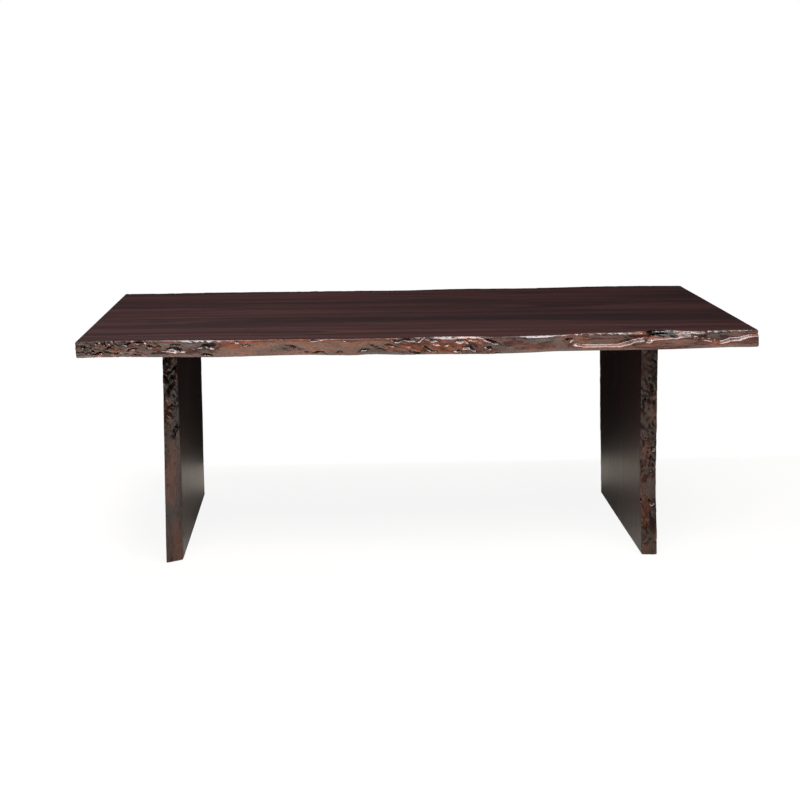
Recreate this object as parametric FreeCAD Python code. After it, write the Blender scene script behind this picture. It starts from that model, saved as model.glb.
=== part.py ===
"""A live edge dining table with slab legs, in millimetres.

The top is five solid boards glued edge to edge, with loose tongues across the glue lines. The front and
back boards keep the natural edge of the tree. Each leg is a slab of four upright boards made the same
way. A steel plate is screwed down onto the leg's end grain, lies in a recess in the top's underside and
is bolted into threaded inserts there. Felt pads keep the end grain off the floor.

+Z is up, +X runs along the table, and the front is at -Y. The origin is on the floor, under the middle
of the table's outline. Every piece that repeats on the two legs is named left_leg_ or right_leg_.
"""
import FreeCAD, Part
import math
import os

V = FreeCAD.Vector
X_AXIS = V(1, 0, 0)
Y_AXIS = V(0, 1, 0)
Z_AXIS = V(0, 0, 1)
ORIGIN = V(0, 0, 0)

# ---- overall sizes -----------------------------------------------------------------------------
table_height = 762.0
top_length = 2134.0
top_width = 959.6              # between the straight base lines that the two live edges wander about
top_thickness = 54.0

# ---- boards of the top, front to back; the two live edge boards share what these three leave ----
front_middle_board_width = 196.0
middle_board_width = 214.0
back_middle_board_width = 188.0
end_easing = 2.0               # flat that takes the sharp corner off every sawn end

# ---- slab legs ---------------------------------------------------------------------------------
leg_depth = 710.0              # front to back, between the base lines of the leg's live edges
leg_thickness = 51.0
leg_centre_y = 9.0             # behind the middle between the top's base lines
left_overhang = 240.0          # from the end of the top to the outer face of the leg
right_overhang = 292.0
leg_inner_board_width = 182.0  # the two plain boards in the middle of each leg

# ---- loose tongues across the glue lines --------------------------------------------------------
tongue_thickness = 12.0
tongue_width = 40.0
tongue_clearance = 0.2         # all round, for glue
top_tongue_end_margin = 70.0   # the grooves stop short of the sawn ends
leg_tongue_end_margin = 60.0

# ---- steel plate between each leg and the top ---------------------------------------------------
plate_thickness = 6.0
plate_width = 120.0
plate_inset = 60.0             # from the leg's front and back to the plate's ends
plate_corner_radius = 8.0
plate_clearance = 0.5          # round the plate in its recess

# ---- bolts from the plate up into the top -------------------------------------------------------
bolt_radius = 4.0
bolt_length = 30.0             # under the head
bolt_point = 1.0               # chamfer at the end of the bolt
bolt_head_across_flats = 13.0
bolt_head_height = 5.3
bolt_offset = 42.0             # from the leg's middle plane to each row of bolts
slot_length = 20.0             # lets the top shrink and swell across its grain
slot_clearance = 0.5
washer_radius = 11.0
washer_thickness = 2.0
spring_washer_radius = 7.0
spring_washer_thickness = 2.0
spring_washer_split = 2.0
washer_clearance = 0.2         # between a washer's hole and the bolt
insert_radius = 6.5
insert_length = 20.0
thread_clearance = 0.1         # between each plain shank and the bore that stands for its thread
bolt_end_space = 4.0           # empty hole beyond the end of the bolt

# ---- screws from the plate down into the leg ----------------------------------------------------
plate_screw_radius = 3.5
plate_screw_length = 80.0
plate_screw_head_radius = 6.8
plate_screw_head_depth = 3.3
plate_screw_point = 8.0
plate_screw_tip_radius = 0.6

# ---- felt pads under the legs -------------------------------------------------------------------
pad_thickness = 3.0
pad_width = 38.0               # across the leg's thickness
pad_length = 70.0              # along the leg's depth

round_sides = 12               # flats that a small round surface is made of

# ---- live edges ---------------------------------------------------------------------------------
# A live edge is described as it is seen by someone who faces it. Each station is
#   (share of the length from the left end or, on a leg, from the floor,
#    reach of the near arris, reach of the far arris, swell of the face between the two),
# in millimetres beyond the base line. The near arris is the lower one on the top, and the outer one
# of a front edge on a leg. A hollow, left by a knot or by bark that has fallen out, is
#   (share of the length, share of the thickness, half its length, half its height, its depth, its tilt in
#   degrees).
# A crease is a ridge that runs along the face through points of (share of length, share of thickness).
top_front_stations = [
    (0.000, 17, 32, 5), (0.040, 8, 28, 6), (0.100, 14, 27, 7), (0.170, 25, 30, 8), (0.225, 26, 37, 9),
    (0.280, 13, 36, 9), (0.335, 13, 37, 10), (0.370, 21, 37, 8), (0.400, 26, 41, 8), (0.425, 14, 36, 8),
    (0.460, 26, 34, 8), (0.485, 32, 28, 8), (0.515, 27, 18, 9), (0.540, 30, 15, 9), (0.575, 33, 20, 8),
    (0.600, 33, 35, 6), (0.630, 27, 30, 8), (0.660, 19, 22, 12), (0.690, 7, 15, 10), (0.715, 4, 5, 8),
    (0.740, 2, -9, 8), (0.780, 1, -13, 6), (0.825, -1, -33, 6), (0.860, -2, -44, 8), (0.900, -10, -27, 8),
    (0.950, -24, -32, 6), (0.988, -23, -33, 5), (1.000, -26, -38, 4),
]
top_front_hollows = [
    (0.021, 0.50, 22, 5, 6, 15), (0.042, 0.80, 23, 5, 6, -25), (0.062, 0.32, 24, 5, 6, 12),
    (0.089, 0.90, 18, 6, 8, 0), (0.138, 0.57, 30, 6, 9, -2), (0.185, 0.19, 20, 6, 8, -5),
    (0.192, 0.74, 24, 6, 8, 4), (0.290, 0.08, 28, 5, 7, -6), (0.345, 0.23, 17, 5, 7, 0),
    (0.413, 0.33, 25, 5, 7, 10), (0.453, 0.58, 24, 5, 7, -35), (0.477, 0.92, 28, 6, 9, 0),
    (0.507, 0.24, 27, 5, 7, -12), (0.545, 0.20, 16, 6, 7, 0), (0.587, 0.43, 18, 5, 7, -15),
    (0.592, 0.76, 31, 6, 9, -18), (0.596, 0.13, 18, 5, 7, -20), (0.704, 0.70, 18, 6, 8, 0),
    (0.850, 0.94, 36, 8, 10, 0),
]
top_front_creases = [
    [(0.120, 0.38), (0.145, 0.28), (0.175, 0.50), (0.215, 0.52)],
    [(0.620, 0.40), (0.670, 0.66), (0.700, 0.50), (0.745, 0.22)],
    [(0.770, 0.18), (0.822, 0.46), (0.865, 0.60), (0.890, 0.55), (0.938, 0.20), (0.965, 0.39), (1.000, 0.58)],
]
top_back_stations = [
    (0.000, 52, 48, 5), (0.090, 54, 58, 7), (0.165, 57, 52, 9), (0.240, 32, 36, 7), (0.310, 33, 26, 6),
    (0.385, 27, 32, 9), (0.460, 21, 19, 7), (0.495, 12, 6, 6), (0.570, 2, 8, 8), (0.640, 11, 8, 8),
    (0.710, 4, 3, 6), (0.780, -1, 6, 7), (0.850, 6, 3, 9), (0.920, -2, -7, 7), (1.000, -12, -8, 5),
]
top_back_hollows = [
    (0.110, 0.30, 26, 6, 8, 10), (0.150, 0.72, 20, 6, 8, -15), (0.290, 0.55, 30, 6, 9, 0),
    (0.430, 0.24, 22, 5, 8, -20), (0.520, 0.80, 24, 6, 8, 0), (0.610, 0.42, 32, 6, 8, 12),
    (0.745, 0.66, 20, 6, 9, -10), (0.880, 0.35, 28, 6, 9, 0),
]
top_back_creases = [
    [(0.180, 0.30), (0.230, 0.62), (0.280, 0.40)],
    [(0.650, 0.55), (0.700, 0.34), (0.760, 0.28), (0.820, 0.60)],
]

left_leg_front_stations = [
    (0.00, -23, 4, 3), (0.10, -25, 5, 4), (0.24, -22, 3, 3), (0.42, -22, -2, 4), (0.55, -6, -7, 4),
    (0.66, 9, -8, 5), (0.78, 20, -14, 4), (0.90, 26, -13, 4), (1.00, 25, -16, 3),
]
left_leg_front_hollows = [
    (0.085, 0.72, 24, 4, 6, 4), (0.595, 0.30, 12, 4, 6, 0), (0.655, 0.60, 15, 5, 7, 20),
    (0.735, 0.70, 16, 5, 7, 0), (0.775, 0.36, 20, 5, 7, -10), (0.880, 0.30, 14, 5, 7, 0),
]
right_leg_front_stations = [
    (0.00, 17, 14, 3), (0.10, 12, 7, 4), (0.18, 2, -8, 4), (0.26, -12, -20, 3), (0.36, -13, -24, 5),
    (0.50, -15, -28, 4), (0.62, -12, -30, 4), (0.74, -16, -31, 5), (0.88, -14, -34, 3), (1.00, -16, -34, 3),
]
right_leg_front_hollows = [
    (0.145, 0.66, 17, 5, 7, -10), (0.250, 0.28, 17, 6, 8, 6), (0.372, 0.70, 18, 5, 7, 0),
    (0.545, 0.50, 17, 5, 7, 15), (0.640, 0.56, 22, 6, 9, 0), (0.722, 0.22, 16, 6, 9, 0),
]
left_leg_back_stations = [
    (0.00, 19, 20, 3), (0.16, 14, 10, 4), (0.30, 11, 7, 4), (0.48, 4, 6, 3), (0.64, -4, 0, 4),
    (0.80, -3, -5, 3), (1.00, -6, -8, 3),
]
left_leg_back_hollows = [
    (0.220, 0.40, 20, 5, 7, 0), (0.470, 0.66, 17, 5, 7, 15), (0.710, 0.34, 22, 5, 8, -8),
]
right_leg_back_stations = [
    (0.00, -38, -35, 3), (0.14, -27, -24, 4), (0.34, -8, -9, 4), (0.52, 8, 8, 4), (0.70, 15, 21, 4),
    (0.84, 24, 24, 4), (1.00, 26, 29, 3),
]
right_leg_back_hollows = [
    (0.180, 0.62, 18, 5, 7, 10), (0.400, 0.34, 22, 5, 8, 0), (0.810, 0.58, 16, 5, 7, -12),
]
crease_height = 6.0            # how far a crease stands out of the face
crease_half_width = 10.0       # how far it spreads to each side
arris_rounding = 2.5           # how far the face falls back at its two arrises
front_section_pitch = 29.0     # spacing of the sections that a live edge is lofted through
back_section_pitch = 40.0
leg_section_pitch = 47.0
section_rows = [0.0, 0.13, 0.36, 0.64, 0.87, 1.0]    # shares of the thickness, arris to arris
hollow_floor = 0.35            # size of a hollow's floor beside its mouth

# ---- sizes that follow from those above ---------------------------------------------------------
underside = table_height - top_thickness
leg_height = underside - pad_thickness
live_board_width = (top_width - front_middle_board_width - middle_board_width - back_middle_board_width) / 2
leg_live_board_width = leg_depth / 2 - leg_inner_board_width
plate_length = leg_depth - 2 * plate_inset
head_stack = washer_thickness + spring_washer_thickness


def box(low, high):
    size = high - low
    return Part.makeBox(size.x, size.y, size.z, low)


def through(points, share):
    """The value at a share of the length of a smooth curve through points of (share, value)."""
    last = len(points) - 1
    here = max(i for i in range(last) if share >= points[i][0] or i == 0)
    (s0, v0), (s1, v1) = points[here], points[here + 1]
    before = points[max(here - 1, 0)]
    after = points[min(here + 2, last)]
    slope0 = (v1 - before[1]) / (s1 - before[0])
    slope1 = (after[1] - v0) / (after[0] - s0)
    gap = s1 - s0
    t = min(max((share - s0) / gap, 0.0), 1.0)
    return (v0 * (2 * t**3 - 3 * t**2 + 1) + slope0 * gap * (t**3 - 2 * t**2 + t)
            + v1 * (3 * t**2 - 2 * t**3) + slope1 * gap * (t**3 - t**2))


def reach(stations, creases, thickness, share, row):
    """How far a live face stands beyond its base line, at a share of its length and of its thickness."""
    near, far, swell = (through([(s[0], s[k]) for s in stations], share) for k in (1, 2, 3))
    inner_row = min(max(row, 0.0), 1.0)
    out = near + (far - near) * inner_row + swell * 4 * inner_row * (1 - inner_row)
    out -= arris_rounding * abs(2 * row - 1) ** 6
    for crease in creases:
        start, end = crease[0][0], crease[-1][0]
        if start < share < end:
            off = (row - through(crease, share)) * thickness / crease_half_width
            fade = min(1.0, (share - start) / 0.02, (end - share) / 0.02 if end < 1 else 1.0)
            out += crease_height * fade * math.exp(-off * off)
    return out


def faceted(rings):
    """A solid with flat faces between closed rings of corners, each ring in the same order."""
    loops = [rings[0], rings[-1]]
    for lower, upper in zip(rings, rings[1:]):
        for k in range(len(lower)):
            loops.append([lower[k - 1], lower[k], upper[k], upper[k - 1]])
    faces = [Part.Face(Part.makePolygon(loop + loop[:1])) for loop in loops]
    return Part.Solid(Part.Shell(faces))


def hollow(place, half_length, half_height, depth, tilt):
    """A six-sided pocket, longest along X, that narrows inwards from a place on a face looking along -Y."""
    corners = [(1, 0), (0.45, 1), (-0.5, 0.9), (-1, 0), (-0.45, -1), (0.5, -0.9)]
    rings = []
    for inwards, scale in ((-depth, 2 - hollow_floor), (depth, hollow_floor)):
        rings.append([V(x * half_length * scale, inwards, z * half_height * scale) for x, z in corners])
    pocket = faceted(rings)
    pocket.rotate(ORIGIN, Y_AXIS, -tilt)
    pocket.translate(place)
    return pocket


def live_board(length, width, thickness, pitch, stations, hollows, creases):
    """A board along X with its live edge at the base line y = 0, facing -Y, and its glue edge at width."""
    sections = []
    count = round(length / pitch)
    for k in range(count + 1):
        share = k / count
        x = share * length
        face = [V(x, -reach(stations, creases, thickness, share, row), row * thickness)
                for row in section_rows]
        outline = face + [V(x, width, thickness), V(x, width, 0)]
        sections.append(Part.makePolygon(outline + outline[:1]))
    board = Part.makeLoft(sections, True, True).removeSplitter()
    pockets = []
    for share, row, half_length, half_height, depth, tilt in hollows:
        place = V(share * length, -reach(stations, creases, thickness, share, row), row * thickness)
        pockets.append(hollow(place, half_length, half_height, depth, tilt))
    return board.cut(pockets).Solids[0]


def less(piece, cutters):
    """The piece with every cutter that reaches it taken away."""
    for cutter in cutters:
        if piece.BoundBox.intersect(cutter.BoundBox):
            piece = piece.cut(cutter)
    return piece.Solids[0]


def easing(corner, inward_x, inward_z, length):
    """A three-sided bar along Y that takes a sawn corner off whatever it meets."""
    outline = [corner, corner + V(inward_x, 0, 0), corner + V(0, 0, inward_z), corner]
    return Part.Face(Part.makePolygon(outline)).extrude(V(0, length, 0))


def turned(levels, base):
    """An upright round solid above base, through levels of (radius, height) from the lowest up."""
    rings = []
    for radius, height in levels:
        corner = radius / math.cos(math.pi / round_sides)
        angles = [2 * math.pi * k / round_sides for k in range(round_sides)]
        rings.append([base + V(corner * math.cos(a), corner * math.sin(a), height) for a in angles])
    return faceted(rings)


def rod(radius, height, base):
    return turned([(radius, 0), (radius, height)], base)


# ---- grooves and tongues ------------------------------------------------------------------------
def top_tongue(y, clearance):
    half = top_length / 2 - top_tongue_end_margin + clearance
    middle = underside + top_thickness / 2
    return box(V(-half, y - tongue_width / 2 - clearance, middle - tongue_thickness / 2 - clearance),
               V(half, y + tongue_width / 2 + clearance, middle + tongue_thickness / 2 + clearance))


def leg_tongue(x, y, clearance):
    top_end = underside - plate_screw_length - plate_screw_point
    return box(V(x - tongue_thickness / 2 - clearance, y - tongue_width / 2 - clearance,
                 pad_thickness + leg_tongue_end_margin - clearance),
               V(x + tongue_thickness / 2 + clearance, y + tongue_width / 2 + clearance,
                 top_end + clearance))


# ---- the joint between one leg and the top ------------------------------------------------------
def plate_blank(x, y, clearance):
    """The steel plate's outline, rounded at its corners, with room added all round."""
    radius = plate_corner_radius + clearance
    half_x, half_y = plate_width / 2 + clearance, plate_length / 2 + clearance
    slab = box(V(x - half_x, y - half_y, underside), V(x + half_x, y + half_y, underside + plate_thickness))
    upright = [e for e in slab.Edges if e.Length < plate_thickness * 1.01]
    return slab.makeFillet(radius, upright)


def bolt_places(x):
    """One bolt each side of the leg in each of the two boards beside the middle one."""
    return [V(x + side * bolt_offset, y, underside) for side in (-1, 1) for y in bolted_board_centres]


def leg_board_places(x, z):
    """The middle of each of a leg's four boards."""
    inner = leg_inner_board_width / 2
    outer = leg_inner_board_width + leg_live_board_width / 2
    return [V(x, leg_centre_y + y, z) for y in (-outer, -inner, inner, outer)]


def slot(place):
    """A slot across the grain of the top, through the plate."""
    width = bolt_radius + slot_clearance
    half = slot_length / 2 - width
    ends = [rod(width, plate_thickness, place + V(0, side * half, 0)) for side in (-1, 1)]
    bar = box(place - V(width, half, 0), place + V(width, half, plate_thickness))
    return bar.fuse(ends).removeSplitter()


def plate_screws(x, clearance):
    """Countersunk screws, one into each board of the leg, with their heads flush with the plate's top."""
    radius = plate_screw_radius + clearance
    levels = [(plate_screw_tip_radius, -plate_screw_length - clearance),
              (radius, plate_screw_point - plate_screw_length - clearance),
              (radius, -plate_screw_head_depth), (plate_screw_head_radius + clearance, 0)]
    return [turned(levels, place) for place in leg_board_places(x, underside + plate_thickness)]


def steel_plate(x):
    plate = plate_blank(x, leg_centre_y, 0.0)
    plate = less(plate, [slot(place) for place in bolt_places(x)])
    return less(plate, plate_screws(x, thread_clearance))


def bolt(place):
    """A hexagon head bolt whose head hangs under the washers."""
    seat = place - V(0, 0, head_stack)
    shank = turned([(bolt_radius, 0), (bolt_radius, bolt_length - bolt_point),
                    (bolt_radius - bolt_point, bolt_length)], seat)
    corner = bolt_head_across_flats / math.sqrt(3)
    points = [seat + V(corner * math.cos(math.radians(60 * k)), corner * math.sin(math.radians(60 * k)), 0)
              for k in range(7)]
    head = Part.Face(Part.makePolygon(points)).extrude(V(0, 0, -bolt_head_height))
    return shank.fuse(head).Solids[0]


def flat_washer(place):
    base = place - V(0, 0, washer_thickness)
    hole = rod(bolt_radius + washer_clearance, washer_thickness, base)
    return rod(washer_radius, washer_thickness, base).cut(hole)


def spring_washer(place):
    base = place - V(0, 0, head_stack)
    hole = rod(bolt_radius + washer_clearance, spring_washer_thickness, base)
    half = spring_washer_split / 2
    split = box(base - V(0, half, 0), base + V(2 * spring_washer_radius, half, spring_washer_thickness))
    return rod(spring_washer_radius, spring_washer_thickness, base).cut([hole, split])


def insert(place):
    """A sleeve with an inside thread, set in the roof of the plate's recess."""
    roof = place + V(0, 0, plate_thickness)
    bore = rod(bolt_radius + thread_clearance, insert_length, roof)
    return rod(insert_radius, insert_length, roof).cut(bore)


def insert_hole(place):
    """The stepped hole for an insert and for the end of the bolt beyond it."""
    roof = place + V(0, 0, plate_thickness)
    depth = bolt_length - head_stack - plate_thickness + bolt_end_space
    narrow = rod(bolt_radius + thread_clearance, max(depth, insert_length + bolt_end_space), roof)
    return rod(insert_radius, insert_length, roof).fuse(narrow)


def pad(place):
    half_x, half_y = pad_width / 2, pad_length / 2
    return box(place - V(half_x, half_y, 0), place + V(half_x, half_y, pad_thickness))


# ---- where the pieces lie -----------------------------------------------------------------------
def build_top(recesses):
    """The five boards of the top and their four tongues, by name."""
    widths = [live_board_width, front_middle_board_width, middle_board_width, back_middle_board_width,
              live_board_width]
    names = ["top_board_front", "top_board_front_middle", "top_board_middle", "top_board_back_middle",
             "top_board_back"]
    lines = [-top_width / 2 + sum(widths[:k]) for k in range(6)]
    half = top_length / 2

    front = live_board(top_length, live_board_width, top_thickness, front_section_pitch,
                       top_front_stations, top_front_hollows, top_front_creases)
    front.translate(V(-half, lines[0], underside))
    back = live_board(top_length, live_board_width, top_thickness, back_section_pitch,
                      top_back_stations, top_back_hollows, top_back_creases)
    back.rotate(ORIGIN, Z_AXIS, 180)
    back.translate(V(half, lines[5], underside))
    boards = [front]
    for k in (1, 2, 3):
        boards.append(box(V(-half, lines[k], underside), V(half, lines[k + 1], table_height)))
    boards.append(back)

    corners = [easing(V(side * half, -top_width, z), -side * end_easing, up * end_easing, 2 * top_width)
               for side in (-1, 1) for z, up in ((underside, 1), (table_height, -1))]
    grooves = [top_tongue(y, tongue_clearance) for y in lines[1:5]]
    pieces = {name: [less(board, corners + grooves + recesses)] for name, board in zip(names, boards)}
    for name, y in zip(("front", "front_middle", "back_middle", "back"), lines[1:5]):
        pieces["top_tongue_" + name] = [top_tongue(y, 0.0)]
    return pieces


def build_leg(side, x, front_edge, back_edge):
    """One leg, whose middle plane is at x: its boards, tongues, plate, fasteners and pads, by name."""
    y = leg_centre_y
    front_line, back_line = y - leg_depth / 2, y + leg_depth / 2
    base = pad_thickness
    front = live_board(leg_height, leg_live_board_width, leg_thickness, leg_section_pitch, *front_edge, [])
    front.rotate(ORIGIN, Y_AXIS, -90)
    front.translate(V(x + leg_thickness / 2, front_line, base))
    back = live_board(leg_height, leg_live_board_width, leg_thickness, leg_section_pitch, *back_edge, [])
    back.rotate(ORIGIN, Y_AXIS, -90)
    back.rotate(ORIGIN, Z_AXIS, 180)
    back.translate(V(x - leg_thickness / 2, back_line, base))
    inner = [box(V(x - leg_thickness / 2, y + low, base),
                 V(x + leg_thickness / 2, y + low + leg_inner_board_width, underside))
             for low in (-leg_inner_board_width, 0)]

    joints = [y - leg_inner_board_width, y, y + leg_inner_board_width]
    cutters = [leg_tongue(x, joint, tongue_clearance) for joint in joints]
    cutters += plate_screws(x, thread_clearance)
    cutters += [easing(V(x + side * leg_thickness / 2, y - leg_depth, base), -side * end_easing, end_easing,
                       2 * leg_depth) for side in (-1, 1)]
    names = ["board_front", "board_front_middle", "board_back_middle", "board_back"]
    pieces = {name: [less(board, cutters)] for name, board in zip(names, [front, *inner, back])}
    for name, joint in zip(("front", "middle", "back"), joints):
        pieces["tongue_" + name] = [leg_tongue(x, joint, 0.0)]
    pieces["plate"] = [steel_plate(x)]
    pieces["plate_screws"] = plate_screws(x, 0.0)
    pieces["bolts"] = [bolt(place) for place in bolt_places(x)]
    pieces["washers"] = [flat_washer(place) for place in bolt_places(x)]
    pieces["spring_washers"] = [spring_washer(place) for place in bolt_places(x)]
    pieces["inserts"] = [insert(place) for place in bolt_places(x)]
    pieces["pads"] = [pad(place) for place in leg_board_places(x, 0)]
    return {side + "_leg_" + name: solids for name, solids in pieces.items()}


bolted_board_centres = [
    -top_width / 2 + live_board_width + front_middle_board_width / 2,
    top_width / 2 - live_board_width - back_middle_board_width / 2,
]
left_leg_x = -top_length / 2 + left_overhang + leg_thickness / 2
right_leg_x = top_length / 2 - right_overhang - leg_thickness / 2

recesses = []
for leg_x in (left_leg_x, right_leg_x):
    recesses.append(plate_blank(leg_x, leg_centre_y, plate_clearance))
    recesses += [insert_hole(place) for place in bolt_places(leg_x)]

nodes = build_top(recesses)
nodes.update(build_leg("left", left_leg_x, (left_leg_front_stations, left_leg_front_hollows),
                       (left_leg_back_stations, left_leg_back_hollows)))
nodes.update(build_leg("right", right_leg_x, (right_leg_front_stations, right_leg_front_hollows),
                       (right_leg_back_stations, right_leg_back_hollows)))

# The origin moves to the middle of the outline, which the two live edges set.
front_reach = min(corner.Y for corner in nodes["top_board_front"][0].Vertexes)
back_reach = max(corner.Y for corner in nodes["top_board_back"][0].Vertexes)
to_centre = V(0, -(front_reach + back_reach) / 2, 0)

os.makedirs("parts", exist_ok=True)
for name, solids in nodes.items():
    shape = solids[0] if len(solids) == 1 else Part.makeCompound(solids)
    shape.translate(to_centre)
    shape.exportStep("parts/" + name + ".step")
print("nodes", len(nodes), "solids", sum(len(s) for s in nodes.values()))
print("top outline", top_length, "x", round(back_reach - front_reach, 1))
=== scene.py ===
"""The looks of a live edge dining table with slab legs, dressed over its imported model.

Lengths are in metres, and what carves the live edges is in millimetres. +Z is up, +X runs along the
table and the front is at -Y. The six boards that keep the tree's natural edge are modelled again, finely,
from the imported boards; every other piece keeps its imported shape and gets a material.
"""
import math
import random

import bmesh
import bpy
from mathutils import Matrix, Vector, noise
from mathutils.bvhtree import BVHTree


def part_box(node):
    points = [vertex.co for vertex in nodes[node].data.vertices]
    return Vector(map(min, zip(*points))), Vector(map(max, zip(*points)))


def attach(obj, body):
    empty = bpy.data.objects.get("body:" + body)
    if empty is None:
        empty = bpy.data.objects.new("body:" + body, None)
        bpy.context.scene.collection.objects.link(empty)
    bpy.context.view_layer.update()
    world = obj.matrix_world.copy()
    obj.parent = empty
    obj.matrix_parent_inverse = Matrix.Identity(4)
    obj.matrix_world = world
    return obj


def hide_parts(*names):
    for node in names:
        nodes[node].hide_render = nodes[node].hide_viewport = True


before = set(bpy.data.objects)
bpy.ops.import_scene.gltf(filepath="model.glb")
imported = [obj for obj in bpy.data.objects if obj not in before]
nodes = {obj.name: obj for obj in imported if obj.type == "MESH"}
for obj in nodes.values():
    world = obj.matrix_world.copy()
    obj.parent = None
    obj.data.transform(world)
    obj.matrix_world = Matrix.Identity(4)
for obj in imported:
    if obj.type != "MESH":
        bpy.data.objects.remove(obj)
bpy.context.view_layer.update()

X = Vector((1, 0, 0))
Z = Vector((0, 0, 1))
MM = 0.001

# ---- camera --------------------------------------------------------------------------------------
camera_place = Vector((-0.2579, -4.6128, 1.5171))
camera_turn = -2.596           # degrees; positive turns to the left of straight ahead
camera_dip = 6.288             # degrees below level
camera_roll = -0.251
camera_lens = 60.556           # mm, over a sensor 36 mm wide
camera_drop = -0.20            # the lens is shifted down by this share of the view's width

# ---- floor and light -----------------------------------------------------------------------------
floor_half_length = 2.6
floor_front = -3.2
floor_back = 0.81
floor_fade = 0.06              # width of the soft border where the floor runs out
floor_colour = (0.80, 0.75, 0.68, 1.0)
floor_evenness = 0.9           # how far the floor's shadows are lifted, as seen straight
floor_glow_front = 0.55        # and as they light the table: before it
floor_glow_below = 0.15        # under it,
floor_glow_behind = 1.0        # and behind it
floor_glow_colour = (1.0, 0.90, 0.78, 1.0)
floor_front_border = (-1.6, -0.6)
floor_behind_border = (0.35, 0.6)
room_glow = 0.012
white = (1.0, 1.0, 1.0, 1.0)

# ---- mesh of the live edges, in metres -----------------------------------------------------------
column_pitch = 2.5 * MM        # spacing of the fine mesh along a live edge
row_pitch = 2.1 * MM           # and across it
row_crowding = 0.35            # how much closer the rows lie near the arrises
end_easing = 2.0 * MM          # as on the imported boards
probe_inset = 0.3 * MM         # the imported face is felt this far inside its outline
probe_start = 50 * MM          # from this far beyond its tip
probe_reach = 300 * MM
groove_depth = 20.2 * MM       # for a loose tongue, in the glue face
groove_half_width = 6.2 * MM
top_groove_margin = 69.8 * MM  # from a groove's end to the board's end
leg_groove_low = 59.8 * MM
leg_groove_high = 87.8 * MM
levelled_low = 0.14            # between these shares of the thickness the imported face's creases are filled
levelled_high = 0.86
easing_passes = 10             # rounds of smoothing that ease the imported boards' flat facets
levelling_passes = 14          # rounds of smoothing that give the level hollows and crests are told from
hollow_shade_start = 0.7 * MM        # depth below the level at which painted shade starts to darken the hollows
hollow_shade_reach = 2.6 * MM        # and how much deeper that painted shade is quite dark
crest_reach = 1.3 * MM         # height above the level at which a crest gets its full extra orange
least_room = 0.1 * MM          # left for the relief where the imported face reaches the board's tip

# ---- relief of the live edges, in millimetres ----------------------------------------------------
swell_height = 3.0             # long swellings
lump_height = 5.0              # lumps of knotty wood
fine_height = 0.6
crack_depth = 7.0              # cracks that wind between the lumps
least_knotty = 0.08            # share of the lumps and cracks that a smooth stretch keeps
arris_fill = 3.2               # added at the upper arris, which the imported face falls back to
arris_fill_start = 0.78        # from this share of the thickness upwards
lip_slope = 0.65               # of the face just above a lip
lip_drop_width = 2.5           # over which the face then drops
lip_shallowing = 0.87          # share of a lip's depth that is gone at the upper arris
lip_run_out = 20.0             # at either end of a lip
ridge_run_out = 12.0           # at either end of a ridge
bark_depth = 4.0               # of the crumbled bark, on average
bark_border = 0.014            # width of its border, as a share of the length
bark_row_border = 0.12         # and of the thickness
strewn_hole_spacing = 22.0

# How knotty an edge is at each share of its length, from 0, smooth, to 1, rough all over.
top_front_knotty = [
    (0.00, 1.00), (0.085, 1.00), (0.11, 0.25), (0.205, 0.20), (0.222, 0.35), (0.26, 0.06), (0.30, 0.35),
    (0.35, 0.35), (0.39, 0.15), (0.44, 0.25), (0.50, 0.30), (0.53, 0.15), (0.56, 0.30), (0.61, 0.25),
    (0.64, 0.02), (0.75, 0.02), (0.79, 0.15), (0.83, 0.15), (0.86, 0.05), (1.00, 0.00),
]
top_back_knotty = [
    (0.00, 0.2), (0.12, 0.8), (0.20, 0.3), (0.32, 0.9), (0.42, 0.5), (0.50, 0.1), (0.60, 0.6),
    (0.68, 0.9), (0.76, 0.3), (0.88, 0.7), (1.00, 0.9),
]
left_leg_front_knotty = [
    (0.00, 0.2), (0.08, 0.5), (0.14, 0.12), (0.50, 0.10), (0.58, 0.7), (0.65, 0.9), (0.71, 0.6),
    (0.80, 1.0), (0.93, 0.8), (1.00, 0.5),
]
right_leg_front_knotty = [
    (0.00, 0.2), (0.14, 0.9), (0.25, 0.7), (0.32, 0.3), (0.40, 0.8), (0.50, 1.0), (0.62, 1.0),
    (0.80, 0.7), (0.86, 0.1), (1.00, 0.05),
]
leg_back_knotty = [(0.00, 0.3), (0.25, 0.8), (0.45, 0.2), (0.70, 0.9), (1.00, 0.3)]

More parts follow.
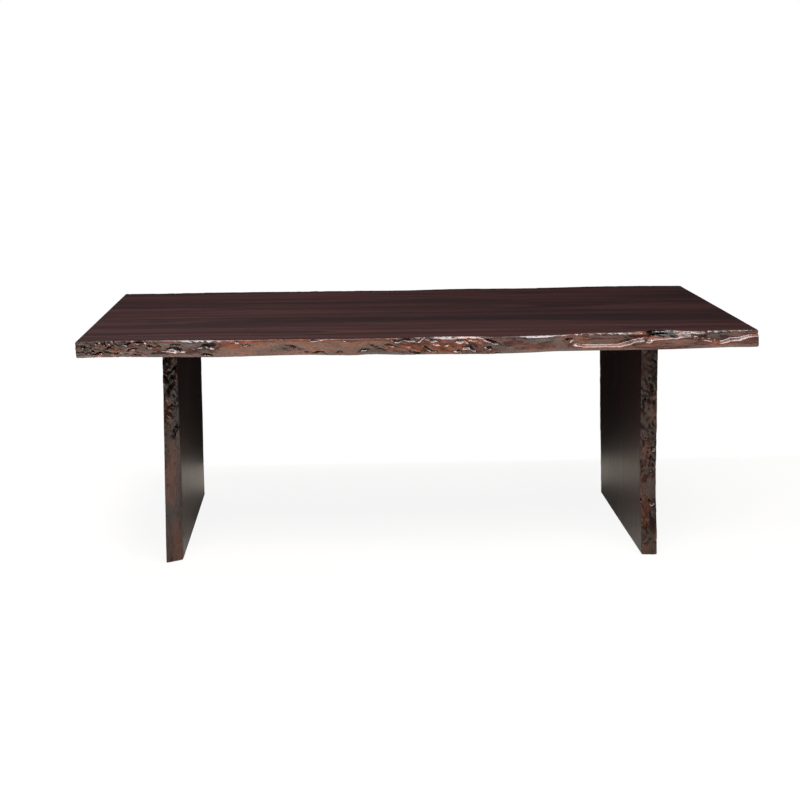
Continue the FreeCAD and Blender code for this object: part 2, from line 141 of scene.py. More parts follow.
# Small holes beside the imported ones: share of the length, share of the thickness, half the length, half
# the height, depth, and tilt in degrees.
top_front_holes = [
    (0.089, 0.91, 20, 5.0, 6, 0), (0.140, 0.52, 32, 6.0, 8, -2), (0.192, 0.75, 26, 6.0, 7, 4),
    (0.187, 0.17, 22, 6.0, 7, -5), (0.345, 0.22, 20, 4.0, 5, 0), (0.413, 0.34, 26, 4.0, 5, 10),
    (0.460, 0.84, 26, 4.5, 6, -8), (0.480, 0.88, 24, 4.5, 6, -12), (0.600, 0.74, 32, 5.5, 8, -16),
    (0.594, 0.40, 16, 5.0, 6, -10), (0.607, 0.06, 16, 4.0, 5, -8), (0.714, 0.72, 18, 6.0, 7, -4),
    (0.012, 0.70, 18, 3.0, 5, -8), (0.028, 0.24, 22, 3.0, 5, 6), (0.046, 0.60, 26, 3.0, 5, 24),
    (0.056, 0.30, 20, 3.0, 5, 10), (0.070, 0.78, 22, 3.0, 5, -20), (0.080, 0.50, 24, 3.5, 6, 14),
    (0.085, 0.14, 22, 2.5, 4, 0), (0.106, 0.66, 24, 3.5, 5, -10), (0.112, 0.30, 18, 2.5, 4, 8),
    (0.143, 0.78, 20, 3.0, 5, 0), (0.230, 0.93, 8, 2.5, 4, 0), (0.242, 0.72, 11, 3.5, 5, 0),
    (0.308, 0.62, 26, 3.0, 5, -12), (0.322, 0.42, 24, 2.5, 4, 8), (0.330, 0.22, 18, 2.5, 4, 0),
    (0.342, 0.92, 18, 4.0, 6, 0), (0.352, 0.24, 18, 3.0, 5, -4), (0.384, 0.90, 10, 2.5, 4, 0),
    (0.426, 0.62, 24, 2.5, 4, -20), (0.440, 0.36, 24, 2.5, 4, -24), (0.452, 0.60, 26, 3.5, 5, -18),
    (0.486, 0.18, 24, 3.5, 6, -14), (0.508, 0.34, 34, 3.5, 6, -24), (0.534, 0.50, 8, 3.0, 4, 0),
    (0.552, 0.72, 14, 3.5, 5, -14), (0.552, 0.18, 12, 4.0, 6, -6), (0.566, 0.60, 24, 2.5, 4, -36),
    (0.572, 0.34, 26, 2.5, 4, -36), (0.740, 0.80, 12, 3.0, 4, -12), (0.834, 0.52, 13, 3.5, 6, -10),
    (0.892, 0.88, 12, 2.5, 2, -10),
]
# Ridges that catch the light: points of (share of length, share of thickness), height, half width.
top_front_ridges = [
    ([(-0.010, 0.10), (0.012, 0.13), (0.024, 0.18)], 3.0, 4.0),
    ([(0.009, 0.24), (0.018, 0.44), (0.034, 0.86)], 3.0, 4.0),
    ([(0.200, 0.40), (0.214, 0.60), (0.236, 0.56)], 4.5, 10.0),
    ([(0.497, 0.62), (0.512, 0.50), (0.526, 0.42)], 2.5, 3.5),
    ([(0.582, 0.96), (0.584, 0.60), (0.594, 0.24), (0.602, 0.00)], 3.0, 4.0),
    ([(0.900, 0.60), (0.910, 0.78), (0.924, 0.92)], 4.5, 9.0),
]
# Lips that the face above steps back from: points of (share of length, share of thickness), depth, and the
# width over which the face slopes before it drops.
top_front_lips = [
    ([(0.105, 0.42), (0.112, 0.42), (0.129, 0.27), (0.142, 0.22), (0.153, 0.27), (0.167, 0.46),
      (0.182, 0.52), (0.195, 0.47), (0.206, 0.46)], 5.0, 6.0),
    ([(0.628, 0.30), (0.645, 0.32), (0.660, 0.42), (0.680, 0.58), (0.698, 0.80), (0.703, 0.84)], 2.0, 14.0),
    ([(0.703, 0.66), (0.711, 0.52), (0.724, 0.27), (0.738, 0.17), (0.753, 0.16), (0.788, 0.15),
      (0.802, 0.27), (0.813, 0.39), (0.826, 0.45), (0.836, 0.43), (0.843, 0.52), (0.858, 0.57),
      (0.872, 0.61), (0.885, 0.64), (0.896, 0.63), (0.905, 0.52), (0.918, 0.42), (0.927, 0.38),
      (0.933, 0.28), (0.942, 0.20), (0.951, 0.27), (0.957, 0.37), (0.968, 0.39), (0.979, 0.48),
      (0.986, 0.56), (1.030, 0.62)], 4.5, 6.0),
]
# Crumbled bark: shares of the length from and to, and of the thickness from and to.
top_front_bark = [(0.824, 0.884, 0.60, 1.10)]
# How orange the wood is at each share of the length, from 0, greyish, to 1.
top_front_warm = [
    (0.00, 0.40), (0.10, 0.40), (0.15, 0.20), (0.20, 0.10), (0.24, 0.90), (0.42, 0.95), (0.47, 0.70),
    (0.56, 0.50), (0.60, 0.10), (0.71, 0.05), (0.74, 0.45), (0.80, 0.20), (0.84, 0.35), (1.00, 0.30),
]
leg_warm = [(0.00, 0.9), (1.00, 0.6)]
plain_warm = [(0.00, 0.3), (1.00, 0.3)]
# Dark patches, partly the wood's own stains and partly painted shade under humps: share of the length, share
# of the thickness, half the length, half the height, strength.
top_front_stains = [
    (0.803, 0.62, 38, 20, 0.8), (0.568, 0.42, 24, 22, 0.8), (0.095, 0.62, 40, 14, 0.6),
    (0.430, 0.30, 50, 12, 0.6), (0.500, 0.20, 40, 10, 0.6), (0.470, 0.80, 40, 9, 0.5),
    (0.300, 0.50, 40, 12, 0.5), (0.510, 0.45, 150, 40, 0.5), (0.889, 0.80, 14, 9, 0.7),
]


# ---- relief and marks ----------------------------------------------------------------------------
def clamp(value):
    return min(max(value, 0.0), 1.0)


def eased(share):
    """The share again, but level at 0 and at 1."""
    return share * share * (3 - 2 * share)


def along(points, share, easing=lambda k: k):
    """The value at a share of the length, on straight lines through points of (share, value)."""
    for (s0, v0), (s1, v1) in zip(points, points[1:]):
        if share <= s1:
            return v0 + (v1 - v0) * easing(max(share - s0, 0.0) / (s1 - s0))
    return points[-1][1]


def ripple(s, t, length, height, seed):
    """Smooth noise from about -1 to 1, in waves of that length and height."""
    return noise.noise(Vector((s / length, t / height, seed)))


def warped(s, t, seed):
    """The place pushed about a little, which makes plain outlines ragged."""
    across = 4 * ripple(s, t, 16, 11, seed + 37) + 1.2 * ripple(s, t, 6, 5, seed)
    return s + 7 * ripple(s, t, 20, 11, seed + 31), t + across


def strewn_holes(knotty, length, seed):
    """Small holes strewn over the knotty stretches of an edge of that length."""
    rng = random.Random(seed)
    holes = []
    for _ in range(round(length / strewn_hole_spacing)):
        share, row = rng.random(), rng.uniform(0.05, 0.95)
        keep = rng.random() < 0.8 * along(knotty, share)
        half_height = rng.uniform(2.5, 4.5)
        half_length = half_height * rng.uniform(2.5, 5.0)
        depth = half_height * rng.uniform(1.1, 1.7)
        tilt = rng.gauss(0, 16)
        if keep:
            holes.append((share, row, half_length, half_height, depth, tilt))
    return holes


def hole_relief(s, t, holes, length, thickness):
    """How far the holes set back the face at s along it and t across it; they run out downwards."""
    out = 0.0
    for share, row, half_length, half_height, depth, tilt in holes:
        ds, dt = s - share * length, t - row * thickness
        if abs(ds) > 2 * half_length + 6:
            continue
        c, k = math.cos(math.radians(tilt)), math.sin(math.radians(tilt))
        x, y = (ds * c + dt * k) / half_length, (dt * c - ds * k) / half_height
        inside = 1 - x * x - (y if y > 0 else -y / 1.5)
        if inside > 0:
            out -= depth * min(1.0, 1.4 * inside)
    return out


def ridge_relief(s, t, ridges, length, thickness):
    """How far the ridges raise the face."""
    out = 0.0
    for path, height, half_width in ridges:
        start, end = path[0][0] * length, path[-1][0] * length
        if start < s < end:
            off = (t - along(path, s / length) * thickness) / half_width
            fade = min(1.0, (s - start) / ridge_run_out, (end - s) / ridge_run_out)
            out += height * fade * math.exp(-off * off)
    return out


def lip_setback(s, t, fall, lips, length, thickness):
    """How far a lip sets the face back, and how strongly. The fall is what the face loses from arris to
    arris; above a lip the face first slopes and then drops, and comes forward up to the arris."""
    for path, depth, width in lips:
        start, end = path[0][0] * length, path[-1][0] * length
        if start < s < end:
            line = along(path, s / length, eased) * thickness
            up = max(t - line, 0.0)
            risen = min(up / (thickness - line), 1.0)
            whole = (fall if fall > 0 else fall * risen) + depth * (1 - lip_shallowing * risen)
            slope = min(lip_slope * min(up, width), whole)
            drop = eased(clamp((up - width) / lip_drop_width))
            strength = min(1.0, (s - start) / lip_run_out, (end - s) / lip_run_out)
            return slope + (whole - slope) * drop, strength
    return 0.0, 0.0


def bark_share(share, row, patches):
    """How far a place lies within the crumbled bark, from 0 to 1."""
    inside = [min(min(share - s0, s1 - share) / bark_border, min(row - r0, r1 - row) / bark_row_border)
              for s0, s1, r0, r1 in patches]
    return clamp(max(inside, default=0.0))


def knotty_relief(s, t, seed, slant):
    """Lumps with winding cracks between them; they run with the grain."""
    swung = t + slant * s + 12 * ripple(s, t, 65, 26, seed)
    lump = ripple(s, swung, 44, 12, seed + 5)
    fine = ripple(s, swung, 17, 6, seed + 9)
    broken = 0.55 + 1.6 * ripple(s, t, 60, 30, seed + 13)
    crack = max(0.0, 1 - 3.4 * abs(lump + 0.2 * fine)) * clamp(broken)
    return lump_height * lump + fine_height * fine - crack_depth * crack ** 1.2


def stain_and_shade_share(s, t, stains, length, thickness):
    """How dark the patches make the face, from 0 to 1, partly the wood's stains and partly painted shade
    under humps; they are streaked down to the right.
    """
    dark = 0.0
    for share, row, half_length, half_height, strength in stains:
        x, y = (s - share * length) / half_length, (t - row * thickness) / half_height
        streak = 0.75 + 0.9 * ripple(s, t + 0.5 * s, 30, 5, 3)
        dark = max(dark, strength * streak * math.exp(-x * x - y * y))
    return dark


class LiveBoard:
    """How one packed board with a live edge lies, and what marks its edge. Along runs with the grain and
    across over the thickness; a place is s from the start and t from the near side."""

    def __init__(self, name, along_axis, across_axis, margins, knotty, seed, slant=0.0, levelled=0.3,
                 holes=(), ridges=(), lips=(), bark=(), stains=(), warm=plain_warm):
        self.name = name
        self.node = nodes[name]
        self.along, self.across = along_axis, across_axis
        self.outward = along_axis.cross(across_axis)
        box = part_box(name)
        self.start, self.end = sorted(self.along.dot(corner) for corner in box)
        self.near, self.far = sorted(self.across.dot(corner) for corner in box)
        self.glue, self.tip = sorted(self.outward.dot(corner) for corner in box)
        self.length, self.thickness = self.end - self.start, self.far - self.near
        self.size = (self.length / MM, self.thickness / MM)
        self.margins, self.knotty, self.seed = margins, knotty, seed
        self.slant, self.levelled = slant, levelled
        self.holes = [*holes, *strewn_holes(knotty, self.size[0], seed)]
        self.ridges, self.lips, self.bark = ridges, lips, bark
        self.stains, self.warm = stains, warm

    def point(self, s, t, out):
        return self.along * s + self.across * t + self.outward * out

    def packed_face(self, tree, s, t):
        """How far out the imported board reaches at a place."""
        at_end = not probe_inset < s < self.length - probe_inset
        edge = end_easing + probe_inset if at_end else probe_inset
        s = min(max(s, probe_inset), self.length - probe_inset)
        t = min(max(t, edge), self.thickness - edge)
        start = self.point(self.start + s, self.near + t, self.tip + probe_start)
        return tree.ray_cast(start, -self.outward, probe_reach)[0].dot(self.outward)

    def levelled_face(self, tree, s, t):
        """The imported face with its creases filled, and how far a lip makes it stand out from that."""
        out = self.packed_face(tree, s, t)
        between = (t / self.thickness - levelled_low) / (levelled_high - levelled_low)
        if not 0.0 < between < 1.0:
            return out, 0.0
        low, high = (self.packed_face(tree, s, r * self.thickness) for r in (levelled_low, levelled_high))
        inward = min(1.0, 6 * between, 6 - 6 * between)
        setback, strength = lip_setback(s / MM, t / MM, (low - high) / MM, self.lips, *self.size)
        level = out + max(self.levelled, strength) * inward * (low + (high - low) * between - out)
        return level, strength * inward * ((low - high) * between - setback * MM)

    def relief(self, s, t):
        """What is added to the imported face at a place, in metres."""
        length, thickness = self.size
        rough = least_knotty + (1 - least_knotty) * along(self.knotty, s / self.length)
        s, t = warped(s / MM, t / MM, self.seed)
        bark = bark_share(s / length, t / thickness, self.bark)
        out = swell_height * ripple(s, t, 110, 24, self.seed)
        out += arris_fill * max(0.0, (t / thickness - arris_fill_start) / (1 - arris_fill_start)) ** 1.5
        out += rough * knotty_relief(s, t, self.seed, self.slant)
        out += hole_relief(s, t, self.holes, length, thickness)
        out += ridge_relief(s, t, self.ridges, length, thickness)
        out -= bark * bark_depth * (1 + ripple(s, t, 4.5, 4, self.seed + 21))
        return out * MM

    def marks(self, s, t, above, corner):
        """How dark and how orange the wood is at a place and its corner of the mesh, which stands so far
        above the level, or below it in hollows. The dark is the knotty wood's and the bark's own, with
        painted shade that deepens it in the hollows."""
        length, thickness = self.size
        stain = 0.85 * along(self.knotty, s / self.length) * clamp(0.65 + 1.3 * noise.noise(corner * 22))
        s, t = warped(s / MM, t / MM, self.seed)
        stain = max(stain, 1.2 * bark_share(s / length, t / thickness, self.bark))
        # Dark patches: partly stains, partly painted shade under humps.
        mark = stain_and_shade_share(s, t, self.stains, length, thickness)
        # Painted shade: the deeper a place lies below the level, the darker it is, up to the dark of the
        # knotty wood and bark.
        dark = clamp(max(stain - (above + hollow_shade_start) / hollow_shade_reach, mark))
        return dark, along(self.warm, s / length) + 0.10 * min(max(above / crest_reach, -1.0), 1.0)


# ---- live boards ---------------------------------------------------------------------------------
def smooth_outward(bm, corners, outward, passes):
    """Even out how far the corners lie along one axis, and leave them where they are along the others."""
    moves = [abs(c) > 0.5 for c in outward]
    for _ in range(passes):
        bmesh.ops.smooth_vert(bm, verts=corners, factor=0.5, use_axis_x=moves[0], use_axis_y=moves[1],
                              use_axis_z=moves[2])


def packed_tree(board):
    packed = bmesh.new()
    packed.from_mesh(board.node.data)
    tree = BVHTree.FromBMesh(packed)
    packed.free()
    return tree


def live_face(board):
    """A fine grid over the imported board's live face, with its relief and its marks."""
    tree = packed_tree(board)
    bm = bmesh.new()
    columns, rows = round(board.length / column_pitch), round(board.thickness / row_pitch)
    bmesh.ops.create_grid(bm, x_segments=columns, y_segments=rows, size=0.5)
    places, lips = [], []
    for v in bm.verts:
        share, row = round(v.co.x + 0.5, 6), round(v.co.y + 0.5, 6)
        row -= row_crowding * math.sin(2 * math.pi * row) / (2 * math.pi)
        s, t = share * board.length, row * board.thickness
        if share in (0.0, 1.0):
            t = min(max(t, end_easing), board.thickness - end_easing)
        out, lip = board.levelled_face(tree, s, t)
        places.append((s, t))
        lips.append(lip)
        v.co = board.point(board.start + s, board.near + t, out)
    smooth_outward(bm, [v for v in bm.verts if not v.is_boundary], board.outward, easing_passes)

    carved, reliefs = [], []
    for v, place, lip in zip(bm.verts, places, lips):
        relief = board.relief(*place)
        if relief > 0:
            room = max(board.tip - v.co.dot(board.outward), least_room)
            relief = room * (1 - math.exp(-relief / room))
        carved.append(v.co + board.outward * (relief + lip))
        reliefs.append(relief)
        v.co = board.point(*place, relief)
    smooth_outward(bm, bm.verts, board.outward, levelling_passes)

    # The dark of the knotty wood and bark, with painted shade in the hollows.
    dark_and_shade = bm.verts.layers.float.new("dark_and_shade")
    warm = bm.verts.layers.float.new("warm")
    live = bm.verts.layers.float.new("live")
    for v, place, corner, relief in zip(bm.verts, places, carved, reliefs):
        v[dark_and_shade], v[warm] = board.marks(*place, relief - v.co.dot(board.outward), corner)
        v[live] = 0.0 if v.is_boundary else 1.0
        v.co = corner - board.outward * max(0.0, corner.dot(board.outward) - board.tip)
    return bm, (live, dark_and_shade, warm)


def cut_groove(bm, board, back):
    """The groove for the loose tongue, sunk into the glue face."""
    middle = (board.near + board.far) / 2
    low, high = board.margins
    cuts = [(board.along, board.start + low), (board.along, board.end - high),
            (board.across, middle - groove_half_width), (board.across, middle + groove_half_width)]
    geometry = [back, *back.edges, *back.verts]
    for axis, place in cuts:
        parts = bmesh.ops.bisect_plane(bm, geom=geometry, plane_co=axis * place, plane_no=axis)
        geometry = parts["geom"]
    faces = [g for g in geometry if isinstance(g, bmesh.types.BMFace)]
    floor = [f for f in faces
             if board.start + low < f.calc_center_median().dot(board.along) < board.end - high
             and abs(f.calc_center_median().dot(board.across) - middle) < groove_half_width]
    sunk = bmesh.ops.extrude_face_region(bm, geom=floor)["geom"]
    bmesh.ops.delete(bm, geom=floor, context="FACES_ONLY")
    bmesh.ops.translate(bm, vec=board.outward * groove_depth,
                        verts=[g for g in sunk if isinstance(g, bmesh.types.BMVert)])


def build_live_board(board, material):
    """The whole board: its live face, flat sides drawn back from that, and the glue face with its groove."""
    bm, layers = live_face(board)
    for face in bm.faces:
        face.smooth = True
    rim = [e for e in bm.edges if e.is_boundary]
    sides = bmesh.ops.extrude_edge_only(bm, edges=rim)["geom"]
    for face in (g for g in sides if isinstance(g, bmesh.types.BMFace)):
        face.smooth = False
    for v in (g for g in sides if isinstance(g, bmesh.types.BMVert)):
        v.co += board.outward * (board.glue - v.co.dot(board.outward))
        for layer in layers:
            v[layer] = 0.0
    back_rim = [g for g in sides if isinstance(g, bmesh.types.BMEdge) and g.is_boundary]
    back = bmesh.ops.contextual_create(bm, geom=back_rim)["faces"][0]
    cut_groove(bm, board, back)
    bmesh.ops.recalc_face_normals(bm, faces=bm.faces)
    piece = add_object(board.name + "_live", new_mesh(board.name + "_live", bm, material))
    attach(piece, "root")
    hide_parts(board.name)


def new_mesh(name, bm, material):
    """A mesh from the bmesh, which it frees."""
    mesh = bpy.data.meshes.new(name)
    bm.to_mesh(mesh)
    bm.free()
    mesh.materials.append(material)
    return mesh


def add_object(name, data):
    piece = bpy.data.objects.new(name, data)
    bpy.context.scene.collection.objects.link(piece)
    return piece


# ---- materials -----------------------------------------------------------------------------------
def shade(red, green, blue):
    """A colour given in the 0 to 255 of a paint chart, as the renderer wants it."""
    return (*(((c / 255 + 0.055) / 1.055) ** 2.4 if c > 10 else c / 3295 for c in (red, green, blue)), 1.0)


def put(tree, kind, inputs=(), **settings):
    """A new shader node. Inputs go by name or number to a value, or to another node's output."""
    node = tree.nodes.new("ShaderNode" + kind)
    for name, value in settings.items():
        setattr(node, name, value)
    for name, value in dict(inputs).items():
        if isinstance(value, bpy.types.NodeSocket):
            tree.links.new(value, node.inputs[name])
        else:
            node.inputs[name].default_value = value
    return node


def plus(tree, first, second):
    return put(tree, "Math", {0: first, 1: second}, operation="ADD").outputs[0]


def times(tree, first, second):
    return put(tree, "Math", {0: first, 1: second}, operation="MULTIPLY").outputs[0]


def vectors(tree, operation, first, second):
    return put(tree, "VectorMath", {0: first, 1: second}, operation=operation).outputs[0]


def scaled(tree, vector, scale):
    return put(tree, "Mapping", {"Vector": vector, "Scale": scale}).outputs["Vector"]


def speckle(tree, vector, scale, detail=2.0, roughness=0.5):
    """Noise over the vector, stretched by its scale along each axis."""
    return put(tree, "TexNoise", {"Vector": scaled(tree, vector, scale), "Scale": 1.0, "Detail": detail,
                                  "Roughness": roughness}).outputs["Fac"]


def swayed(tree, vector, scale, reach):
    """The vector pushed about by noise, by up to half the reach along each axis."""
    push = put(tree, "TexNoise", {"Vector": scaled(tree, vector, scale), "Scale": 1.0, "Detail": 2.0})
    off = vectors(tree, "SUBTRACT", push.outputs["Color"], (0.5, 0.5, 0.5))
    return vectors(tree, "ADD", vector, vectors(tree, "MULTIPLY", off, reach))


def remap(tree, value, low, high, to_low=0.0, to_high=1.0):
    return put(tree, "MapRange", {"Value": value, "From Min": low, "From Max": high, "To Min": to_low,
                                  "To Max": to_high}, interpolation_type="SMOOTHSTEP").outputs["Result"]


def mixed(tree, factor, first, second):
    """One value where the factor is 0 and the other where it is 1."""
    return put(tree, "Mix", {0: factor, 2: first, 3: second}).outputs[0]


def blended(tree, factor, first, second):
    """One colour where the factor is 0 and the other where it is 1."""
    return put(tree, "Mix", {0: factor, 6: first, 7: second}, data_type="RGBA").outputs[2]


def node_group(name, ins, outs):
    """An empty group with its sockets, as (tree, its inputs by name, its output node)."""
    tree = bpy.data.node_groups.new(name, "ShaderNodeTree")
    for label, kind in ins:
        tree.interface.new_socket(label, in_out="INPUT", socket_type="NodeSocket" + kind)
    for label, kind in outs:
        tree.interface.new_socket(label, in_out="OUTPUT", socket_type="NodeSocket" + kind)
    return tree, tree.nodes.new("NodeGroupInput").outputs, tree.nodes.new("NodeGroupOutput").inputs


wood_outputs = [("Color", "Color"), ("Roughness", "Float"), ("Height", "Float")]


def make_sawn_wood():
    """Planed and stained wood: growth rings round the X axis of its vector, fibres, pores, dark streaks."""
    tree, ins, outs = node_group(
        "sawn_wood", [("Vector", "Vector"), ("Dark", "Color"), ("Light", "Color"), ("Streak", "Float")],
        wood_outputs)
    place = swayed(tree, ins["Vector"], (0.9, 3.5, 3.5), (0.0, 0.03, 0.03))
    flat = vectors(tree, "MULTIPLY", place, (0.0, 1.0, 1.0))
    radius = put(tree, "VectorMath", {0: flat}, operation="LENGTH").outputs["Value"]
    rings = put(tree, "TexNoise", {"W": radius, "Scale": 170.0, "Detail": 3.0, "Roughness": 0.6},
                noise_dimensions="1D").outputs["Fac"]
    ring = remap(tree, rings, 0.32, 0.68)
    fibre = speckle(tree, place, (7.0, 330.0, 330.0), 3.0, 0.6)
    broad = speckle(tree, place, (0.8, 14.0, 14.0), 2.0)
    tone = plus(tree, times(tree, ring, 0.30), times(tree, broad, 1.1))
    tone = remap(tree, plus(tree, tone, times(tree, fibre, 0.25)), 0.55, 1.15)
    vein = remap(tree, speckle(tree, place, (0.8, 30.0, 30.0), 3.0, 0.55), 0.54, 0.68)
    vein = times(tree, vein, ins["Streak"])
    pore = remap(tree, speckle(tree, place, (26.0, 1150.0, 1150.0), 1.0), 0.62, 0.74)
    colour = blended(tree, tone, ins["Dark"], ins["Light"])
    colour = blended(tree, times(tree, vein, 0.8), colour, shade(14, 11, 15))
    colour = blended(tree, times(tree, pore, 0.45), colour, shade(10, 7, 8))
    tree.links.new(colour, outs["Color"])
    tree.links.new(remap(tree, fibre, 0.3, 0.7, 0.34, 0.44), outs["Roughness"])
    tree.links.new(plus(tree, times(tree, fibre, 0.3), times(tree, pore, -1.0)), outs["Height"])
    return tree


def make_live_wood():
    """The tree's own surface, brushed clean and lacquered: reddish, orange where it is warm, and near black
    where its knots and bark are dark, with painted shade that deepens the hollows."""
    tree, ins, outs = node_group(
        "live_wood", [("Vector", "Vector"), ("DarkAndShade", "Float"), ("Warm", "Float"), ("Dark", "Color"),
                      ("Light", "Color"), ("Orange", "Color")], wood_outputs)
    place = swayed(tree, ins["Vector"], (9.0, 20.0, 20.0), (0.03, 0.03, 0.03))
    patch = speckle(tree, place, (8.0, 26.0, 26.0), 3.0)
    strand = speckle(tree, place, (24.0, 210.0, 210.0), 3.0, 0.6)
    fleck = speckle(tree, place, (90.0, 300.0, 300.0), 2.0)
    tone = remap(tree, plus(tree, times(tree, patch, 0.75), times(tree, strand, 0.45)), 0.38, 0.86)
    hue = plus(tree, ins["Warm"], times(tree, plus(tree, patch, -0.5), 1.6))
    light = blended(tree, put(tree, "Clamp", {0: hue}).outputs[0], ins["Light"], ins["Orange"])
    colour = blended(tree, tone, ins["Dark"], light)
    stained = times(tree, remap(tree, patch, 0.58, 0.72), 0.35)
    colour = blended(tree, stained, colour, shade(46, 36, 36))
    # Near black in small flecks and where the knotty wood and bark are dark, and as painted shade in the
    # hollows.
    deep = plus(tree, ins["DarkAndShade"], times(tree, remap(tree, fleck, 0.60, 0.72), 0.35))
    colour = blended(tree, remap(tree, deep, 0.12, 0.85), colour, shade(9, 6, 6))
    tree.links.new(colour, outs["Color"])
    tree.links.new(remap(tree, strand, 0.3, 0.7, 0.24, 0.34), outs["Roughness"])
    tree.links.new(plus(tree, times(tree, strand, 0.8), times(tree, fleck, 0.5)), outs["Height"])
    return tree


def new_material(name):
    """A material with a Principled surface, as (material, tree, surface)."""
    material = bpy.data.materials.new(name)
    material.use_nodes = True
    return material, material.node_tree, material.node_tree.nodes["Principled BSDF"]


def board_wood(name, pith, upright=False, tint=0.0, streak=0.6, edge_shade_factor=1.0, gloss=1.0):
    """One board's wood. The pith is where the middle of the tree lay, across the grain, in metres; tint
    lightens the sawn wood, the edge factor scales the live edge's lightness, which on the legs is painted
    shade, and gloss is its lacquer."""
    material, tree, surface = new_material(name)
    place = put(tree, "TexCoord").outputs["Object"]
    turn = (0.0, math.radians(90), 0.0) if upright else (0.0, 0.0, 0.0)
    shift = (pith[0], -pith[1], -pith[2])
    vector = put(tree, "Mapping", {"Vector": place, "Rotation": turn, "Location": shift}).outputs["Vector"]
    live, dark_and_shade, warm = (put(tree, "Attribute", attribute_name=label).outputs["Fac"]
                          for label in ("live", "dark_and_shade", "warm"))
    sawn = put(tree, "Group", {
        "Vector": vector, "Streak": streak,
        "Dark": shade(24 + 4 * tint, 13 + 3 * tint, 14 + 3 * tint),
        "Light": shade(45 + 6 * tint, 25 + 3 * tint, 24 + 3 * tint)}, node_tree=sawn_wood).outputs
    # The live edge's colours, scaled by the edge factor; on the legs it darkens them as painted shade under
    # the top.
    edge = put(tree, "Group", {
        "Vector": vector, "DarkAndShade": dark_and_shade, "Warm": warm,
        "Dark": shade(38 * edge_shade_factor, 25 * edge_shade_factor, 24 * edge_shade_factor),
        "Light": shade(92 * edge_shade_factor, 62 * edge_shade_factor, 55 * edge_shade_factor),
        "Orange": shade(128 * edge_shade_factor, 70 * edge_shade_factor, 44 * edge_shade_factor)}, node_tree=live_wood).outputs
    tree.links.new(blended(tree, live, sawn["Color"], edge["Color"]), surface.inputs["Base Color"])
    tree.links.new(mixed(tree, live, sawn["Roughness"], edge["Roughness"]), surface.inputs["Roughness"])
    height = mixed(tree, live, sawn["Height"], edge["Height"])
    bump = put(tree, "Bump", {"Strength": 0.35, "Distance": 0.0004, "Height": height})
    tree.links.new(bump.outputs["Normal"], surface.inputs["Normal"])
    coat = plus(tree, times(tree, live, gloss), times(tree, dark_and_shade, -0.8 * gloss))
    tree.links.new(put(tree, "Clamp", {0: coat}).outputs[0], surface.inputs["Coat Weight"])
    surface.inputs["Coat Roughness"].default_value = 0.2
    surface.inputs["Specular IOR Level"].default_value = 0.2
    return material


def plain_material(name, colour, roughness, metallic=0.0):
    material, tree, surface = new_material(name)
    surface.inputs["Base Color"].default_value = colour
    surface.inputs["Roughness"].default_value = roughness
    surface.inputs["Metallic"].default_value = metallic
    return material


# ---- camera, floor and light ---------------------------------------------------------------------
def add_camera():
    data = bpy.data.cameras.new("view_camera")
    data.lens = camera_lens
    data.sensor_width = 36.0
    data.shift_y = camera_drop
    camera = add_object("view_camera", data)
    turn = Matrix.Rotation(math.radians(camera_turn), 4, "Z")
    tip = Matrix.Rotation(math.radians(90 - camera_dip), 4, "X")
    roll = Matrix.Rotation(math.radians(camera_roll), 4, "Z")
    camera.matrix_world = Matrix.Translation(camera_place) @ turn @ tip @ roll
    bpy.context.scene.camera = camera


def add_softbox(name, place, target, width, height, power):
    data = bpy.data.lights.new(name, "AREA")
    data.shape = "RECTANGLE"
    data.size, data.size_y = width, height
    data.energy = power
    light = add_object(name, data)
    light.location = place
    light.rotation_euler = (Vector(target) - Vector(place)).to_track_quat("-Z", "Y").to_euler()


def floor_paper():
    """Pale paper that fades out at the back. Straight on it looks evenly lit; to the table it glows little
    under the top, more before it and most behind it."""
    material, tree, surface = new_material("floor_paper")
    surface.inputs["Base Color"].default_value = floor_colour
    surface.inputs["Roughness"].default_value = 0.9
    y = put(tree, "SeparateXYZ", {0: put(tree, "TexCoord").outputs["Object"]}).outputs["Y"]
    alpha = remap(tree, y, floor_back - floor_fade, floor_back, 1.0, 0.0)
    tree.links.new(alpha, surface.inputs["Alpha"])
    before = remap(tree, y, *floor_front_border, floor_glow_front - floor_glow_below, 0.0)
    behind = remap(tree, y, *floor_behind_border, 0.0, floor_glow_behind - floor_glow_below)
    edge_shade_factor = plus(tree, plus(tree, before, behind), floor_glow_below)
    straight = put(tree, "LightPath").outputs["Is Camera Ray"]
    tone = blended(tree, straight, floor_glow_colour, white)
    bright = put(tree, "Emission", {"Color": tone, "Strength": 1.0}).outputs[0]
    share = mixed(tree, straight, edge_shade_factor, floor_evenness)
    lit = put(tree, "MixShader", {0: share, 1: surface.outputs[0], 2: bright}).outputs[0]
    tree.links.new(lit, tree.nodes["Material Output"].inputs["Surface"])
    return material


def add_floor():
    bm = bmesh.new()
    bmesh.ops.create_grid(bm, x_segments=1, y_segments=1, size=1.0)
    bmesh.ops.scale(bm, vec=(floor_half_length, (floor_back - floor_front) / 2, 1), verts=bm.verts)
    bmesh.ops.translate(bm, vec=(0, (floor_back + floor_front) / 2, 0), verts=bm.verts)
    add_object("floor", new_mesh("floor", bm, floor_paper()))


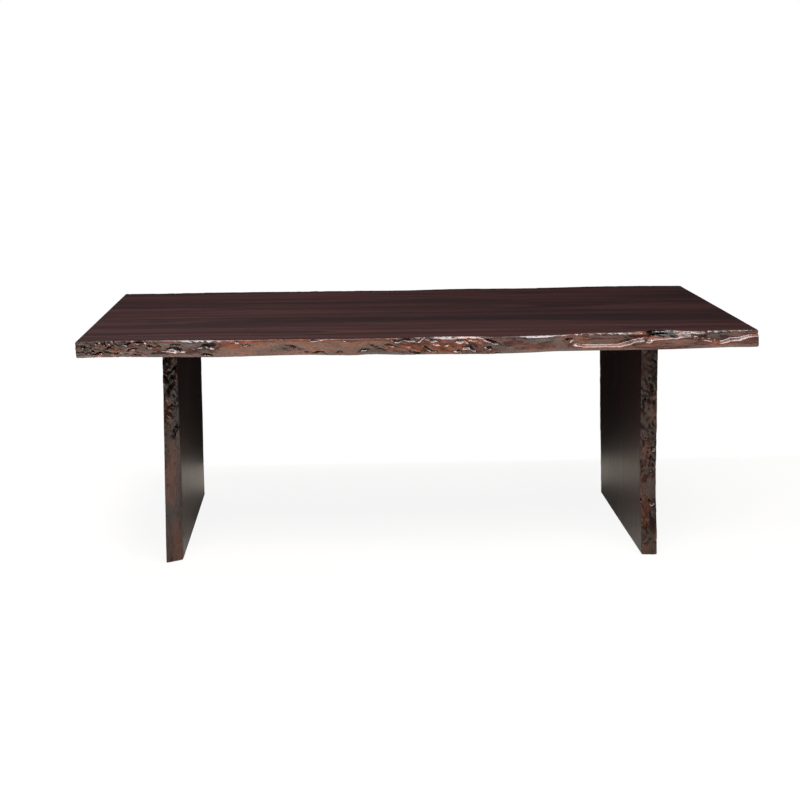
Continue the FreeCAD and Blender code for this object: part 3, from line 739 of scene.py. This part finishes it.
def light_room():
    """A white room that itself lights little, with four softboxes."""
    world = bpy.data.worlds.new("room")
    world.use_nodes = True
    tree = world.node_tree
    dim = tree.nodes["Background"]
    dim.inputs["Color"].default_value = white
    dim.inputs["Strength"].default_value = room_glow
    bright = put(tree, "Background", {"Color": white, "Strength": 1.0})
    straight = put(tree, "LightPath").outputs["Is Camera Ray"]
    lit = put(tree, "MixShader", {0: straight, 1: dim.outputs[0], 2: bright.outputs[0]})
    tree.links.new(lit.outputs[0], tree.nodes["World Output"].inputs["Surface"])
    bpy.context.scene.world = world
    add_softbox("overhead", (-1.1, -0.2, 2.7), (-0.9, -0.2, 0.7), 0.6, 0.6, 60)
    add_softbox("front", (0.2, -1.9, 2.9), (0.0, -0.4, 0.7), 4.2, 1.2, 190)
    add_softbox("canopy", (-0.6, -0.3, 4.4), (-0.3, -0.3, 0.0), 5.0, 5.0, 175)
    add_softbox("wall", (0.0, -5.4, 2.0), (0.0, 0.0, 1.2), 8.0, 3.4, 12)
    bpy.context.scene.view_settings.view_transform = "Standard"


# ---- the table -----------------------------------------------------------------------------------
sawn_wood = make_sawn_wood()
live_wood = make_live_wood()

top_margins = (top_groove_margin, top_groove_margin)
leg_margins = (leg_groove_low, leg_groove_high)
live_boards = [
    LiveBoard("top_board_front", X, Z, top_margins, top_front_knotty, 1, slant=0.28, levelled=0.8,
              holes=top_front_holes, ridges=top_front_ridges, lips=top_front_lips, bark=top_front_bark,
              stains=top_front_stains, warm=top_front_warm),
    LiveBoard("top_board_back", -X, Z, top_margins, top_back_knotty, 2, slant=0.1),
    LiveBoard("left_leg_board_front", Z, -X, leg_margins, left_leg_front_knotty, 3, warm=leg_warm),
    LiveBoard("right_leg_board_front", Z, -X, leg_margins, right_leg_front_knotty, 4, warm=leg_warm),
    LiveBoard("left_leg_board_back", Z, X, leg_margins, leg_back_knotty, 5),
    LiveBoard("right_leg_board_back", Z, X, leg_margins, leg_back_knotty, 6),
]

# Each board's wood, so that no two boards show the same rings.
boards = {
    "top_board_front": dict(pith=(0.3, -0.40, 0.55), tint=0.6, streak=0.5),
    "top_board_front_middle": dict(pith=(4.1, -0.16, 0.44), tint=0.2, streak=0.8),
    "top_board_middle": dict(pith=(9.2, 0.06, 0.50), tint=-0.1, streak=0.9),
    "top_board_back_middle": dict(pith=(15.6, 0.26, 0.40), tint=-0.2, streak=0.8),
    "top_board_back": dict(pith=(21.3, 0.37, 0.52), tint=0.1, streak=0.6),
}
# The legs' live edges are darkened as painted shade under the top's overhang.
for number, side in enumerate(("left", "right")):
    for place, part in enumerate(("front", "front_middle", "back_middle", "back")):
        boards[side + "_leg_board_" + part] = dict(
            pith=(30 + 7 * place + 40 * number, -0.26 + 0.18 * place, 0.5 - 0.6 * number), upright=True,
            tint=0.3 * (place % 2), streak=0.7, edge_shade_factor=0.56, gloss=0.35)

materials = {name: board_wood(name + "_wood", **look) for name, look in boards.items()}
zinc = plain_material("zinc_plate", shade(190, 192, 196), 0.3, metallic=1.0)
finishes = {
    "tongue": plain_material("planed_beech", shade(204, 170, 128), 0.6),
    "screws": zinc,
    "bolts": zinc,
    "washers": zinc,
    "inserts": plain_material("turned_brass", shade(205, 165, 95), 0.3, metallic=1.0),
    "plate": plain_material("black_powder_coat", shade(24, 24, 25), 0.5),
    "pads": plain_material("felt", shade(58, 54, 50), 0.95),
}
for name, node in nodes.items():
    finish = materials.get(name) or next(value for word, value in finishes.items() if word in name)
    node.data.materials.clear()
    node.data.materials.append(finish)
for board in live_boards:
    build_live_board(board, materials[board.name])

add_floor()
light_room()
add_camera()
